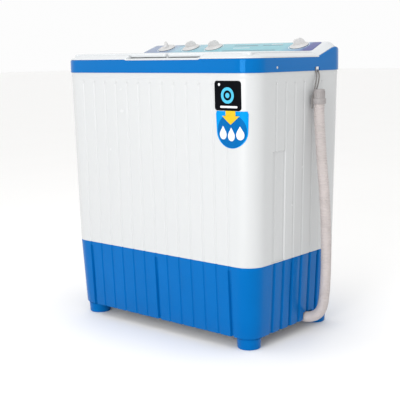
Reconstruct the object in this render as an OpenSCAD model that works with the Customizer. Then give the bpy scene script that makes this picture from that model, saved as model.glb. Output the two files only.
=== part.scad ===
// Twin tub washer: a wash tub with a pulsator on the left, a spin basket on the right.
// Origin on the floor at the centre of the body, +X to the right, -Y to the front, +Z up.

/* [Body] */
// Width over the top frame
body_w = 800; // [780:1:830]
// Depth over the top frame
body_d = 500; // [490:1:520]
// Plan radius of the body's corners
corner_r = 66; // [58:1:70]
// Wall of the mouldings
wall = 3; // [2.5:0.1:3.5]

/* [Lids and knobs] */
// Gap between the two lids
lid_gap = 8; // [6:1:12]
// Skirt radius of each knob
knob_r = 31; // [26:1:32]
// Tilt of the control panel
ramp_tilt = 20.3; // [19.5:0.1:21]

/* [Tubs] */
// Inside radius of the spin basket
basket_r = 120; // [105:1:122]
// Radius of the pulsator
pulsator_r = 142; // [120:1:143]

/* [Drive] */
// Radius of the belt's path on the pulsator's pulley
pulley_r = 90; // [80:1:95]
// Radius of the belt's path on the motor's pulley
motor_pulley_r = 25; // [22:1:28]

/* [Hose] */
// Outside diameter of the drain hose
hose_d = 34; // [30:1:34]

/* [Hidden] */

$fn = 48;
eps = 1;                     // how far a cutter runs past a face
band_blue = [0.02, 0.44, 0.80];
shell_white = [0.93, 0.94, 0.95];
hose_beige = [0.76, 0.73, 0.70];
steel_grey = [0.62, 0.64, 0.66];
rubber_black = [0.12, 0.12, 0.13];

half_w = body_w / 2;
half_d = body_d / 2;

// Heights above the floor, and the feet
foot_h = 38;
foot_at = [329, 179];
foot_r = 38;
floor_z = 70;                // underside of the base's floor
base_z = 260;                // top of the base
band_z = 830.5;              // lower edge of the top frame
ledge_z = 842;               // ledge of the top frame, on the cabinet's rim
screw_z = 844;               // screws in the top frame's sides
deck_z = 872;                // underside of the deck
deck_t = 4;
deck_top = deck_z + deck_t;
lid_z = deck_top + 1;        // lower edge of the lids
lid_h = 13;

// Insets of the body's walls from the top frame's outline
foot_inset = 24;
plate_ledge = 46;
base_inset = 13;
rim_inset = 2.6;

// Flutes
flute_pitch = 50;
front_flutes = [for (i = [-6:6]) i * flute_pitch];
side_pitch = 48;
side_flutes = [for (i = [-2:3]) i * side_pitch - 31];
flute_w = 10;
flute_deep = 3;
groove_deep = 8;
flute_top = 800;
groove_top = 245;
corner_steps = 8;

// Console
console_y = 94;              // front edge of the console
console_inset = 6.5;
ridge_r = 55;
ridge_y = half_d - 6 - ridge_r;
ridge_z = 864;
ridge_from = 90 + ramp_tilt; // where the ramp runs into the ridge's arc
// height of the ramp at the console's front edge
console_h = ridge_z + ridge_r * sin(ridge_from)
    - (ridge_y + ridge_r * cos(ridge_from) - console_y) * tan(ramp_tilt);
panel_y = 104;               // lower edge of the overlay
panel_z = console_h + (panel_y - console_y) * tan(ramp_tilt);
panel_len = 75;
overlay_t = 1.2;
knob_y = 44;                 // up the ramp from the overlay's lower edge
wash_timer_x = -283;
wash_selector_x = -168;
drain_selector_x = -63;
spin_timer_x = 290;
knob_xs = [wash_timer_x, wash_selector_x, drain_selector_x, spin_timer_x];
stem_r = 3;
stem_hole_r = 5;
running = 0.05;              // radial clearance of the turning fits

// Water inlet
inlet_at = [-230, 215];
inlet_r = 11;
inlet_body_r = 14;
inlet_hole_r = 14.4;
spout_z = 848;
spout_r = 12;
spout_bore = 8.5;

// Tubs
wash_x = -175;
tub_y = -68;
wash_size = [390, 300];
spin_x = 215;
spin_size = [300, 300];
tub_floor = 360;
tub_rim = deck_z - 6;
wash_corner = 70;
spin_corner = 140;

// Lid hinges
hinge_y = 84;
hinge_z = 884;
pin_r = 3;
knuckle_r = 5.5;
lid_front = -222;
lid_back = 78;
lid_side = half_w - 28;
lid_split = 48;
wash_ears = [-330, -10];
spin_ears = [100, 330];
ear_w = 8;

// Drive
shaft_r = 8;
motor_x = 0;
belt_z = 272;
pulley_h = 20;
base_floor = floor_z + wall;
motor_z = 128;
valve_x = drain_selector_x;
valve_y = 150;
valve_z = 270;
valve_h = 76;
seat_h = 33;
rod_r = 2.5;
rod_top = 856;

// Pipes: heights of the tubs' feeds and of the drain line, and where they run
feed_z = 326;
drain_z = 285;
pipe_y = 52;
wash_drain_y = 56;
spin_drain_x = 150;
overflow_x = -270;
overflow_z = 760;
feed_r = 13;
feed_bore = 10;
overflow_r = 11;
overflow_bore = 8.5;
outlet_x = 290;
outlet_r = 16;
outlet_bore = 13;

// Drain hose: from the outlet under the floor, out of the notch and up the right side
hose_route = [[345, 66, 45], [362, 66, 45], [379, 66, 46], [395, 66, 50], [411, 66, 58],
    [424, 66, 70], [433, 66, 86], [438, 66, 104], [441, 66, 125], [444, 66, 160], [446, 66, 200],
    [447, 66, 245], [447, 66, 290], [446, 66, 335], [444, 66, 380], [441, 66, 425], [438, 65, 470],
    [434, 64, 515], [430, 63, 560], [427, 62, 605], [424, 61, 650], [421, 61, 690], [421, 61, 730]];
hose_sides = 12;
outlet_at = hose_route[0];
cuff_at = hose_route[len(hose_route) - 1];

// ---------- shared shapes ----------

function arc(cx, cy, r, from, to, steps) =
    [for (i = [0:steps]) let (a = from + (to - from) * i / steps) [cx + r * cos(a), cy + r * sin(a)]];

// The four points of one flute, at `at` along a wall, `deep` into it
function flute(at, deep) =
    [[at - flute_w / 2, 0], [at - flute_w / 4, deep], [at + flute_w / 4, deep], [at + flute_w / 2, 0]];

// Plan of the body: a rounded rectangle, its front and sides fluted
function body_plan(inset, front_deep, side_deep) =
    let (x = half_w - inset, y = half_d - inset, r = corner_r - inset / 2, n = len(side_flutes),
        front = [for (i = [0:len(front_flutes) - 1]) each flute(front_flutes[i], front_deep[i])],
        side = [for (i = [0:n - 1]) each flute(side_flutes[i], side_deep[i])])
    concat([for (p = front) [p[0], p[1] - y]],
        arc(x - r, r - y, r, -90, 0, corner_steps),
        [for (p = side) [x - p[1], p[0]]],
        arc(x - r, y - r, r, 0, 90, corner_steps),
        arc(r - x, y - r, r, 90, 180, corner_steps),
        [for (i = [4 * n - 1:-1:0]) [side[i][1] - x, side[i][0]]],
        arc(r - x, r - y, r, 180, 270, corner_steps));

function each_of(positions, deep) = [for (p = positions) deep];
front_grooves = [for (i = [-6:6]) i % 6 == 0 ? groove_deep : flute_deep];
side_grooves = [for (i = [-2:3]) i == 0 || i == 3 ? groove_deep : flute_deep];

function ring(plan, z) = [for (p = plan) [p[0], p[1], z]];
function plain_ring(inset, z) = ring(body_plan(inset, each_of(front_flutes, 0), each_of(side_flutes, 0)), z);
function fluted_ring(inset, z) =
    ring(body_plan(inset, each_of(front_flutes, flute_deep), each_of(side_flutes, flute_deep)), z);
function grooved_ring(inset, z) = ring(body_plan(inset, front_grooves, side_grooves), z);

// A solid through rings of equal length. looped: the last ring joins the first
module loft(rings, looped = false) {
    n = len(rings[0]);
    m = len(rings);
    sides = [for (j = [0:m - (looped ? 1 : 2)], i = [0:n - 1])
        [j * n + i, ((j + 1) % m) * n + i, ((j + 1) % m) * n + (i + 1) % n, j * n + (i + 1) % n]];
    caps = looped ? [] : [[for (i = [0:n - 1]) i], [for (i = [n - 1:-1:0]) (m - 1) * n + i]];
    polyhedron(points = [for (r = rings) each r], faces = concat(sides, caps), convexity = 10);
}

// Rounded rectangle with true arcs
module rounded(size, r) {
    square([size[0] - 2 * r, size[1]], center = true);
    square([size[0], size[1] - 2 * r], center = true);
    for (x = [-1, 1], y = [-1, 1])
        translate([x * (size[0] / 2 - r), y * (size[1] / 2 - r)]) circle(r);
}

module body_column(inset, z, h)
    translate([0, 0, z]) linear_extrude(h)
        rounded([body_w - 2 * inset, body_d - 2 * inset], corner_r - inset);

module tube(r_out, r_in, h) difference() {
    cylinder(r = r_out, h = h);
    translate([0, 0, -eps]) cylinder(r = r_in, h = h + 2 * eps);
}

// A profile in Y and Z, drawn out along X
module along_x(from, to) translate([from, 0, 0]) rotate([90, 0, 90]) linear_extrude(to - from) children();

module box(from, to) translate(from) cube(to - from);

module at_ramp(x = 0, up = 0) translate([x, panel_y, panel_z]) rotate([ramp_tilt, 0, 0])
    translate([0, up, 0]) children();

module rod(from, to, r) {
    d = to - from;
    translate(from) rotate([0, acos(d[2] / norm(d)), atan2(d[1], d[0])]) cylinder(r = r, h = norm(d));
}

// A pipe through points, with a collar at each bend
module pipe(points, r, bore) {
    last = len(points) - 1;
    difference() {
        union() {
            for (i = [1:last]) rod(points[i - 1], points[i], r);
            for (i = [1:last - 1]) translate(points[i]) sphere(r + 2);
        }
        for (i = [1:last]) {
            run = (points[i] - points[i - 1]) / norm(points[i] - points[i - 1]);
            rod(points[i - 1] - run * (i == 1 ? eps : bore / 2),
                points[i] + run * (i == last ? eps : bore / 2), bore);
        }
    }
}

// ---------- casing ----------

module cabinet() color(shell_white) {
    window = [560, 380];
    difference() {
        loft([fluted_ring(base_inset, base_z), fluted_ring(3.4, flute_top), plain_ring(3.3, flute_top + 6),
            plain_ring(rim_inset, ledge_z), plain_ring(rim_inset + wall, ledge_z),
            plain_ring(3.3 + wall, flute_top + 6), fluted_ring(3.4 + wall, flute_top),
            fluted_ring(base_inset + wall, base_z)], looped = true);
        translate([-window[0] / 2, half_d - 30, rear_z - window[1] / 2]) cube([window[0], 60, window[1]]);
    }
}

module base() color(band_blue) difference() {
    loft([grooved_ring(foot_inset, foot_h), grooved_ring(base_inset + 0.8, groove_top),
        fluted_ring(base_inset + 0.7, groove_top + 3), fluted_ring(base_inset, base_z),
        fluted_ring(base_inset + wall, base_z), fluted_ring(base_inset + 0.6 + wall, groove_top + 6),
        grooved_ring(base_inset + 0.8 + wall, groove_top + 2), grooved_ring(foot_inset + wall - 1, floor_z),
        plain_ring(plate_ledge, floor_z), plain_ring(plate_ledge, floor_z - 4),
        grooved_ring(foot_inset + wall - 1, floor_z - 4), grooved_ring(foot_inset + wall, foot_h)],
        looped = true);
    // notch for the drain hose
    box([half_w - 40, 44, foot_h - eps], [half_w, 88, floor_z - 5.5]);
}

// Steel plate that carries the motors, on the ledge inside the base
rib_x = 330;
vent_xs = [-300, -200, -100, 100];
module base_plate() color(steel_grey) difference() {
    union() {
        body_column(plate_ledge - 8, floor_z, wall);
        for (x = [-rib_x, rib_x]) box([x - 3, -150, base_floor - eps], [x + 3, 150, base_floor + 12]);
    }
    translate([outlet_x, outlet_at[1], floor_z - eps]) cylinder(r = outlet_r + 4, h = wall + 2 * eps);
    for (x = vent_xs, y = [-170, 170]) translate([x, y, floor_z - eps]) cylinder(r = 12, h = wall + 2 * eps);
}

// Round feet, with a stub up to the base plate's ledge
module feet() color(band_blue)
    for (x = [-1, 1], y = [-1, 1]) translate([x * foot_at[0], y * foot_at[1], 0]) rotate_extrude()
        polygon([[0, 0], [foot_r - 4, 0], [foot_r - 2, 2], [foot_r, 32], [foot_r - 1.5, 32.6],
            [foot_r - 1.5, 34], [foot_r, 34.6], [foot_r, foot_h], [foot_r - 5, foot_h],
            [foot_r - 5, floor_z - 4], [0, floor_z - 4]]);

// Height of the top frame: level along the front and sides, humped round the console's ends
module frame_profile() {
    hump_r = 60;
    hump_z = 843;
    hump_y = 88.5;
    polygon(concat([[-half_d - eps, band_z], [-half_d - eps, deck_z], [hump_y, deck_z]],
        arc(half_d - hump_r, hump_z, hump_r, 111, 0, 24),
        [[half_d + eps, hump_z], [half_d + eps, band_z]]));
}

screw_y = -129;
module at_band_screws() for (x = [-1, 1])
    translate([x * (half_w - 1.6), screw_y, screw_z]) rotate([0, x * 90, 0]) children();

module top_frame() color(band_blue) {
    lip_t = 2.2;
    frame_t = 6;
    ledge_w = 10;
    ledge_t = 4;
    hook = [66, 94];
    difference() {
        intersection() {
            body_column(0, band_z, 80);
            along_x(-half_w - eps, half_w + eps) frame_profile();
        }
        body_column(lip_t, band_z - eps, ledge_z - band_z + eps);
        body_column(ledge_w, ledge_z - eps, ledge_t + 2 * eps);
        body_column(frame_t, ledge_z + ledge_t, 80);
        // notch that the hose's hanger hooks into
        box([half_w - 4, hook[0], band_z - eps], [half_w + eps, hook[1], 841]);
        at_band_screws() {
            cylinder(r = 4.3, h = 10);
            translate([0, 0, -4]) cylinder(r = 1.6, h = 20);
        }
    }
}

module deck() color(shell_white) {
    wash_mouth = [380, 290];
    spin_mouth = [284, 284];
    recess = [-100, 198];
    rear_edge = half_d - 12;
    front_part = 88;
    timer_window = [112, 190];
    difference() {
        union() {
            intersection() {
                body_column(3, deck_z, deck_t);
                box([-half_w, -half_d, deck_z - eps], [half_w, front_part, deck_top + eps]);
            }
            intersection() {
                body_column(console_inset, deck_z, deck_t);
                box([-half_w, front_part - 8, deck_z - eps], [half_w, rear_edge, deck_top + eps]);
            }
            // rim round the lids
            intersection() {
                union() {
                    body_column(12.5, deck_top, 3);
                    body_column(18.5, deck_top + 3, 3.5);
                }
                box([-half_w, -half_d, deck_z], [half_w, front_part, deck_z + 20]);
            }
            for (x = concat(wash_ears, spin_ears)) hinge_ear(x);
        }
        // recess that the lids lie in, split by a rib
        difference() {
            box([-lid_side - 2, lid_front - 2, deck_top], [lid_side + 2, half_d, deck_z + 30]);
            for (x = concat(wash_ears, spin_ears)) hinge_ear(x);
            box([lid_split - 2, lid_front - 3, deck_top - eps], [lid_split + 2, 80, lid_z + 8]);
        }
        translate([wash_x, tub_y, deck_z - eps]) linear_extrude(deck_t + 2 * eps) rounded(wash_mouth, 66);
        translate([spin_x, tub_y, deck_z - eps]) linear_extrude(deck_t + 2 * eps) rounded(spin_mouth, 132);
        // finger recess under the lids' front edges
        box([recess[0], -half_d - eps, deck_top - 2], [recess[1], lid_front + 6, deck_z + 30]);
        // windows for the timers, the drain rod and the inlet
        box([wash_timer_x - 32, timer_window[0], deck_z - eps],
            [drain_selector_x + 38, timer_window[1], deck_top + eps]);
        box([spin_timer_x - 35, timer_window[0], deck_z - eps],
            [spin_timer_x + 35, timer_window[1], deck_top + eps]);
        translate([inlet_at[0], inlet_at[1], deck_z - eps]) cylinder(r = inlet_hole_r, h = deck_t + 2 * eps);
        for (x = concat(wash_ears, spin_ears)) translate([x - ear_w, hinge_y, hinge_z])
            rotate([0, 90, 0]) cylinder(r = pin_r + running, h = 2 * ear_w);
    }
}

module hinge_ear(x) {
    ear_r = 5;
    translate([x - ear_w / 2, hinge_y, hinge_z]) rotate([0, 90, 0]) cylinder(r = ear_r, h = ear_w);
    box([x - ear_w / 2, hinge_y - ear_r, deck_top - eps], [x + ear_w / 2, hinge_y + ear_r, hinge_z]);
}

// Outline of the console, seen from its end, `t` inside its surface
module console_profile(t) {
    front_h = console_h + t * (tan(ramp_tilt) - 1 / cos(ramp_tilt));
    polygon(concat([[ridge_y + ridge_r - t, ridge_z - eps], [console_y + t, ridge_z - eps],
        [console_y + t, front_h]],
        arc(ridge_y, ridge_z, ridge_r - t, ridge_from, 0, 20)));
}

column_z = 850;
module control_panel() color(shell_white) difference() {
    intersection() {
        body_column(console_inset, column_z, 80);
        along_x(-half_w, half_w) console_profile(0);
    }
    intersection() {
        body_column(console_inset + wall, column_z, 80);
        along_x(-half_w, half_w) console_profile(wall);
    }
    box([-half_w, 0, column_z], [half_w, half_d - 11, deck_top]);
    box([-half_w, 0, column_z], [half_w, half_d, ridge_z]);
    for (x = knob_xs) at_ramp(x, knob_y) translate([0, 0, -20]) cylinder(r = stem_hole_r, h = 40);
    translate([inlet_at[0], inlet_at[1], column_z]) cylinder(r = inlet_hole_r, h = 80);
}

module panel_overlay() color([0.45, 0.72, 0.78]) at_ramp() difference() {
    linear_extrude(overlay_t)
        polygon([[-364, 0], [364, 0], [358, panel_len], [-358, panel_len]]);
    for (x = knob_xs) translate([x, knob_y, -eps]) cylinder(r = stem_hole_r, h = 4);
}

module band_screws() color(steel_grey) at_band_screws() {
    cylinder(r = 4, h = 1.2);
    translate([0, 0, -4]) cylinder(r = 1.6, h = 5);
}

// Everything on the rear wall leans with it
module at_rear(x, z) {
    lean = atan((base_inset - 3.4) / (flute_top - base_z));
    translate([x, half_d - base_inset, base_z]) rotate([-lean, 0, 0]) translate([0, 0, z - base_z])
        rotate([-90, 0, 0]) children();
}

rear_z = 490;
rear_holes = [for (x = [-290, -97, 97, 290], z = [rear_z - 208, rear_z + 208]) [x, z]];
gland_at = [-240, 330];

module rear_cover() color([0.86, 0.87, 0.88]) difference() {
    union() {
        at_rear(0, rear_z) translate([0, 0, 0.05]) linear_extrude(1.6) rounded([604, 440], 14);
        for (i = [-3:3]) at_rear(i * 70, rear_z) translate([-4, -150, 1]) cube([8, 300, 1.6]);
    }
    for (p = rear_holes) at_rear(p[0], p[1]) translate([0, 0, -eps]) cylinder(r = 2.2, h = 5);
    at_rear(gland_at[0], gland_at[1]) translate([0, 0, -eps]) cylinder(r = 9.2, h = 6);
}

module rear_cover_screws() color(steel_grey)
    for (p = rear_holes) at_rear(p[0], p[1]) translate([0, 0, 1.7]) {
        cylinder(r = 4, h = 1.2);
        translate([0, 0, -1.5]) cylinder(r = 2, h = 2);
    }

module power_gland() color(rubber_black) at_rear(gland_at[0], gland_at[1]) difference() {
    union() {
        translate([0, 0, 1.7]) cylinder(r = 12, h = 1.2);
        translate([0, 0, -10]) cylinder(r = 9, h = 12);
        translate([0, 0, -3.5]) cylinder(r = 11, h = 3);
    }
    translate([0, 0, -11]) cylinder(r = 4, h = 15);
}

// ---------- lids ----------

module lid(x0, x1, ears) {
    skin = 2.6;
    difference() {
        union() {
            translate([(x0 + x1) / 2, (lid_front + lid_back) / 2, lid_z]) linear_extrude(lid_h - 3)
                rounded([x1 - x0, lid_back - lid_front], 6);
            translate([(x0 + x1) / 2, (lid_front + lid_back) / 2, lid_z]) linear_extrude(lid_h)
                rounded([x1 - x0 - 8, lid_back - lid_front - 8], 6);
            for (x = ears) lid_knuckle(x);
        }
        box([x0 + skin, lid_front + skin, lid_z - eps],
            [x1 - skin, lid_back - skin, lid_z + lid_h - skin - 3]);
        for (x = ears) translate([x - 20, hinge_y, hinge_z]) rotate([0, 90, 0]) cylinder(r = pin_r, h = 60);
    }
}

// Each knuckle stands on the inner side of its ear
module lid_knuckle(x) {
    knuckle_w = 20;
    tab_h = 4.5;
    translate([x + ear_w / 2 + 0.6, 0, hinge_z]) {
        translate([0, hinge_y, 0]) rotate([0, 90, 0]) cylinder(r = knuckle_r, h = knuckle_w);
        box([0, lid_back - 3, -tab_h], [knuckle_w, hinge_y, tab_h]);
    }
}

module wash_lid() color(shell_white) lid(-lid_side, lid_split - lid_gap / 2, wash_ears);
module spin_lid() color(shell_white) lid(lid_split + lid_gap / 2, lid_side, spin_ears);

module hinge_pins(ears) color(steel_grey)
    for (x = ears) translate([x - ear_w / 2 - 1, hinge_y, hinge_z]) rotate([0, 90, 0])
        cylinder(r = pin_r, h = 28);
module wash_lid_pins() hinge_pins(wash_ears);
module spin_lid_pins() hinge_pins(spin_ears);

// ---------- knobs and what they turn ----------

// A round skirt with a finger bar across it, on a stem
module knob(x, turn, stem) at_ramp(x, knob_y) rotate([0, 0, turn]) {
    bar = [13, 50, 24];
    color([0.88, 0.88, 0.88]) {
        translate([0, 0, 2]) rotate_extrude()
            polygon([[0, 0], [knob_r, 0], [knob_r, 2.5], [knob_r - 6, 6], [0, 7.5]]);
        intersection() {
            translate([-bar[0] / 2, -bar[1] / 2, 3]) cube([bar[0], bar[1], bar[2] - 3]);
            translate([-bar[0] / 2 - eps, 0, -6]) rotate([0, 90, 0]) cylinder(r = 30, h = bar[0] + 2 * eps);
        }
        translate([0, 0, -stem]) cylinder(r = stem_r, h = stem + 3);
    }
}

module wash_timer_knob() knob(wash_timer_x, 40, 13);
module wash_selector_knob() knob(wash_selector_x, -50, 13);
module drain_selector_knob() knob(drain_selector_x, -50, 25);
module spin_timer_knob() knob(spin_timer_x, -50, 13);

// A case with a bush for the stem and two lugs, close under the console's wall
module switch_case(x, size, h, through = false) at_ramp(x, knob_y) difference() {
    top = -wall - 0.1;
    union() {
        translate([0, 0, top - h]) linear_extrude(h) rounded([size, size], 5);
        translate([0, 0, top - 3]) linear_extrude(3) rounded([size + 16, 14], 6);
    }
    translate([0, 0, -15 - (through ? h : 0)]) cylinder(r = stem_r + running, h = 16 + h);
}

module wash_timer() color([0.9, 0.88, 0.8]) switch_case(wash_timer_x, 46, 40);
module spin_timer() color([0.9, 0.88, 0.8]) switch_case(spin_timer_x, 46, 40);
module wash_selector_switch() color(rubber_black) switch_case(wash_selector_x, 34, 18);
module drain_selector_body() color(rubber_black) switch_case(drain_selector_x, 34, 14, true);

module drain_crank() color(steel_grey) at_ramp(drain_selector_x, knob_y) difference() {
    hull() {
        translate([0, 0, -24]) cylinder(r = 7, h = 4, $fn = 32);
        translate([14, 0, -24]) cylinder(r = 4, h = 4, $fn = 32);
    }
    translate([0, 0, -30]) cylinder(r = stem_r, h = 20);
}

// ---------- wash side ----------

module tub(x, size, r, floor_hole) difference() {
    union() {
        translate([x, tub_y, tub_floor - wall]) linear_extrude(tub_rim - tub_floor + wall)
            rounded(size + [2 * wall, 2 * wall], r + wall);
        translate([x, tub_y, tub_rim]) linear_extrude(deck_z - tub_rim) rounded(size + [24, 24], r + 12);
    }
    translate([x, tub_y, tub_floor]) linear_extrude(deck_z) rounded(size, r);
    translate([x, tub_y, tub_floor - 10]) cylinder(r = floor_hole, h = 20);
}

module wash_tub() color(shell_white) difference() {
    tub(wash_x, wash_size, wash_corner, 16);
    translate([valve_x, wash_drain_y, tub_floor - 10]) cylinder(r = feed_bore, h = 20);
    translate([inlet_at[0], 60, spout_z + 2]) rotate([-90, 0, 0]) cylinder(r = spout_r - 0.8, h = 40);
    translate([overflow_x, 60, overflow_z]) rotate([-90, 0, 0]) cylinder(r = overflow_bore + 0.5, h = 40);
}

// Dished disc with curved fins and rows of water holes
module pulsator() color([0.35, 0.55, 0.85]) translate([wash_x, tub_y, tub_floor + 6]) difference() {
    union() {
        rotate_extrude() polygon([[0, 6], [30, 4], [pulsator_r - 12, 0], [pulsator_r, 3], [pulsator_r, 14],
            [pulsator_r - 10, 8], [40, 14], [28, 34], [0, 40]]);
        for (a = [0:60:300]) rotate(a) intersection() {
            difference() {
                translate([90, 0, 4]) cylinder(r = 70, h = 30);
                translate([90, 0, 3]) cylinder(r = 62, h = 32);
            }
            box([22, 0, 4], [pulsator_r - 14, 80, 26]);
        }
    }
    translate([0, 0, -eps]) cylinder(r = shaft_r, h = 30);
    for (a = [15:30:345]) rotate(a) translate([pulsator_r - 26, 0, -eps]) cylinder(r = 3, h = 20);
}

module pulsator_shaft() color(steel_grey) translate([wash_x, tub_y, belt_z - 14])
    cylinder(r = shaft_r, h = tub_floor + 30 - belt_z + 14);

module shaft_housing() color(rubber_black) translate([wash_x, tub_y, belt_z + 14]) difference() {
    union() {
        cylinder(r = 22, h = tub_floor - wall - belt_z - 14);
        translate([0, 0, tub_floor - wall - belt_z - 20]) cylinder(r = 60, h = 6);
        for (a = [0:60:300]) rotate(a) translate([18, -2, tub_floor - wall - belt_z - 50])
            cube([38, 4, 36]);
    }
    translate([0, 0, -eps]) cylinder(r = 14, h = 120);
}

module shaft_bushes() color([0.72, 0.55, 0.25]) translate([wash_x, tub_y, belt_z + 14])
    for (z = [0, tub_floor - wall - belt_z - 14 - 16]) translate([0, 0, z]) tube(14, shaft_r + running, 16);

// A grooved pulley with a web and a hub
module pulley(r, h, hub_r, bore) difference() {
    union() {
        rotate_extrude() polygon([[0, 0], [r + 4, 0], [r + 4, 4], [r - 4, 7.5], [r - 4, h - 7.5],
            [r + 4, h - 4], [r + 4, h], [0, h]]);
        translate([0, 0, -3]) cylinder(r = hub_r, h = h + 5);
    }
    translate([0, 0, -5]) cylinder(r = bore, h = h + 10);
    if (r > 60) {
        translate([0, 0, h / 2 + 3]) tube(r - 12, hub_r + 4, h);
        translate([0, 0, -h / 2 - 3]) tube(r - 12, hub_r + 4, h);
        for (a = [30:60:330]) rotate(a) translate([(r + hub_r) / 2, 0, -eps]) cylinder(r = 16, h = h + 2);
    }
}

module pulsator_pulley() color([0.2, 0.2, 0.22]) translate([wash_x, tub_y, belt_z - pulley_h / 2])
    pulley(pulley_r, pulley_h, 16, shaft_r);
module motor_pulley() color(steel_grey) translate([motor_x, tub_y, belt_z - pulley_h / 2])
    pulley(motor_pulley_r, pulley_h, 12, 6);

module drive_belt() color(rubber_black)
    translate([0, tub_y, belt_z - 2.2]) linear_extrude(4.4) difference() {
        hull() belt_circles(3);
        hull() belt_circles(-3.4);
    }
module belt_circles(grow) {
    translate([wash_x, 0]) circle(pulley_r + grow, $fn = 72);
    translate([motor_x, 0]) circle(motor_pulley_r + grow, $fn = 72);
}

// A motor case: two bells on a laminated stack, with a bush at each end
module motor_case(r, h, bush) difference() {
    union() {
        rotate_extrude() polygon([[0, 0], [r * 0.45, 0], [r * 0.5, 6], [r * 0.9, 12], [r * 0.95, 30], [r, 31],
            [r, h - 31], [r * 0.95, h - 30], [r * 0.9, h - 12], [r * 0.5, h - 6], [r * 0.45, h], [0, h]]);
        for (a = [45:90:315]) rotate(a) translate([r - 4, 0, 24]) cylinder(r = 5, h = h - 48);
    }
    translate([0, 0, 10]) cylinder(r = r * 0.6, h = h - 20);
    translate([0, 0, 2]) cylinder(r = bush + running, h = h);
}

module wash_motor() color([0.3, 0.31, 0.33]) translate([motor_x, tub_y, motor_z]) motor_case(58, 126, 6);
module wash_motor_rotor() color(steel_grey) translate([motor_x, tub_y, motor_z]) {
    translate([0, 0, 4]) cylinder(r = 6, h = belt_z + 12 - motor_z - 4);
    translate([0, 0, 30]) cylinder(r = 33, h = 66);
}

// Plate on four posts under the wash motor
module wash_motor_bracket() color(steel_grey) translate([motor_x, tub_y, 0]) difference() {
    post = 62;
    union() {
        translate([0, 0, motor_z - 4]) linear_extrude(4) rounded([150, 150], 20);
        for (x = [-post, post], y = [-post, post]) translate([x, y, base_floor])
            cylinder(r = 9, h = motor_z - 4 - base_floor);
    }
    translate([0, 0, motor_z - 10]) cylinder(r = 20, h = 20);
}

// Slotted box that hangs on the wash tub's rear wall, open at the top
module lint_filter() color([0.75, 0.82, 0.9]) translate([-200, 60, 560]) difference() {
    cube([100, 20, 200]);
    translate([6, 3, 6]) cube([88, 14, 200]);
    for (i = [0:6]) translate([10 + i * 12, -10, 15]) cube([8, 20, 170]);
}

// Socket for the inlet hose in the console's top, over a spout into the wash tub
module water_inlet() color(rubber_black) translate([inlet_at[0], inlet_at[1], spout_z]) difference() {
    union() {
        translate([0, 0, 10]) cylinder(r = inlet_body_r, h = 43);
        cylinder(r = spout_r, h = 16);
        rod([0, 0, 0], [0, 83 - inlet_at[1], 0], spout_r);
        sphere(inlet_body_r);
    }
    translate([0, 0, 13]) cylinder(r = inlet_r, h = 60);
    translate([0, 0, -6]) cylinder(r = spout_bore + 0.5, h = 28);
    rod([0, 5, 0], [0, 80 - inlet_at[1], 0], spout_bore);
}

// ---------- drain ----------

module drain_valve_body() color(shell_white) translate([valve_x, valve_y, valve_z]) rotate_extrude()
    polygon([[0, 0], [28, 0], [28, valve_h], [rod_r + running, valve_h], [rod_r + running, valve_h - 4],
        [25, valve_h - 4], [25, seat_h], [14, seat_h], [14, seat_h - 6], [25, seat_h - 6], [25, 3], [0, 3]]);

module drain_valve_plug() color(rubber_black)
    translate([valve_x, valve_y, valve_z + seat_h + 0.4]) rotate_extrude() polygon([[rod_r, 0], [20, 0], [20, 5], [12, 12], [9, 20], [rod_r, 20]]);

module drain_pull_rod() color(steel_grey) translate([valve_x, valve_y, valve_z + seat_h + 1])
    cylinder(r = rod_r, h = rod_top - valve_z - seat_h - 1);

// Wash tub to valve, spin tub to drain, and the wash tub's overflow
module tub_pipes() color(hose_beige) {
    pipe([[valve_x, wash_drain_y, tub_floor - wall], [valve_x, wash_drain_y, feed_z],
        [valve_x, valve_y - 26, feed_z]], feed_r, feed_bore);
    pipe([[spin_drain_x, pipe_y, tub_floor - wall], [spin_drain_x, pipe_y, feed_z],
        [spin_drain_x, valve_y, feed_z], [spin_drain_x, valve_y, drain_z + feed_r]], feed_r, feed_bore);
    pipe([[overflow_x, 86, overflow_z], [overflow_x, valve_y, overflow_z], [overflow_x, valve_y, drain_z],
        [valve_x - 26, valve_y, drain_z]], overflow_r, overflow_bore);
}

module drain_pipe() color(hose_beige)
    pipe([[valve_x + 26, valve_y, drain_z], [outlet_x, valve_y, drain_z], [outlet_x, outlet_at[1], drain_z],
        [outlet_x, outlet_at[1], outlet_at[2]], outlet_at], outlet_r, outlet_bore);

// ---------- spin side ----------

module spin_outer_tub() color(shell_white) difference() {
    tub(spin_x, spin_size, spin_corner, 30);
    translate([spin_drain_x, pipe_y, tub_floor - 10]) cylinder(r = feed_bore, h = 20);
}

basket_z = 392;
basket_h = 404;
ring_h = 34;
// Basket with a raised hub and rows of water holes
module spin_basket() color([0.85, 0.88, 0.9]) translate([spin_x, tub_y, basket_z]) difference() {
    rotate_extrude() polygon([[shaft_r, 0], [basket_r, 0], [basket_r + 2.5, 3], [basket_r + 2.5, basket_h],
        [basket_r, basket_h], [basket_r, 5], [40, 3], [34, 40], [20, 48], [shaft_r, 48]]);
    for (k = [0:4], a = [0:30:330]) rotate(a + k * 15) translate([basket_r - 10, 0, 60 + k * 65])
        rotate([0, 90, 0]) cylinder(r = 3, h = 20);
}

module balance_ring() color([0.8, 0.85, 0.95]) translate([spin_x, tub_y, basket_z + basket_h - ring_h])
    rotate_extrude() polygon([[basket_r - 22, 4], [basket_r - 18, 0], [basket_r, 0], [basket_r, ring_h],
        [basket_r - 18, ring_h], [basket_r - 22, ring_h - 4]]);

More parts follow.
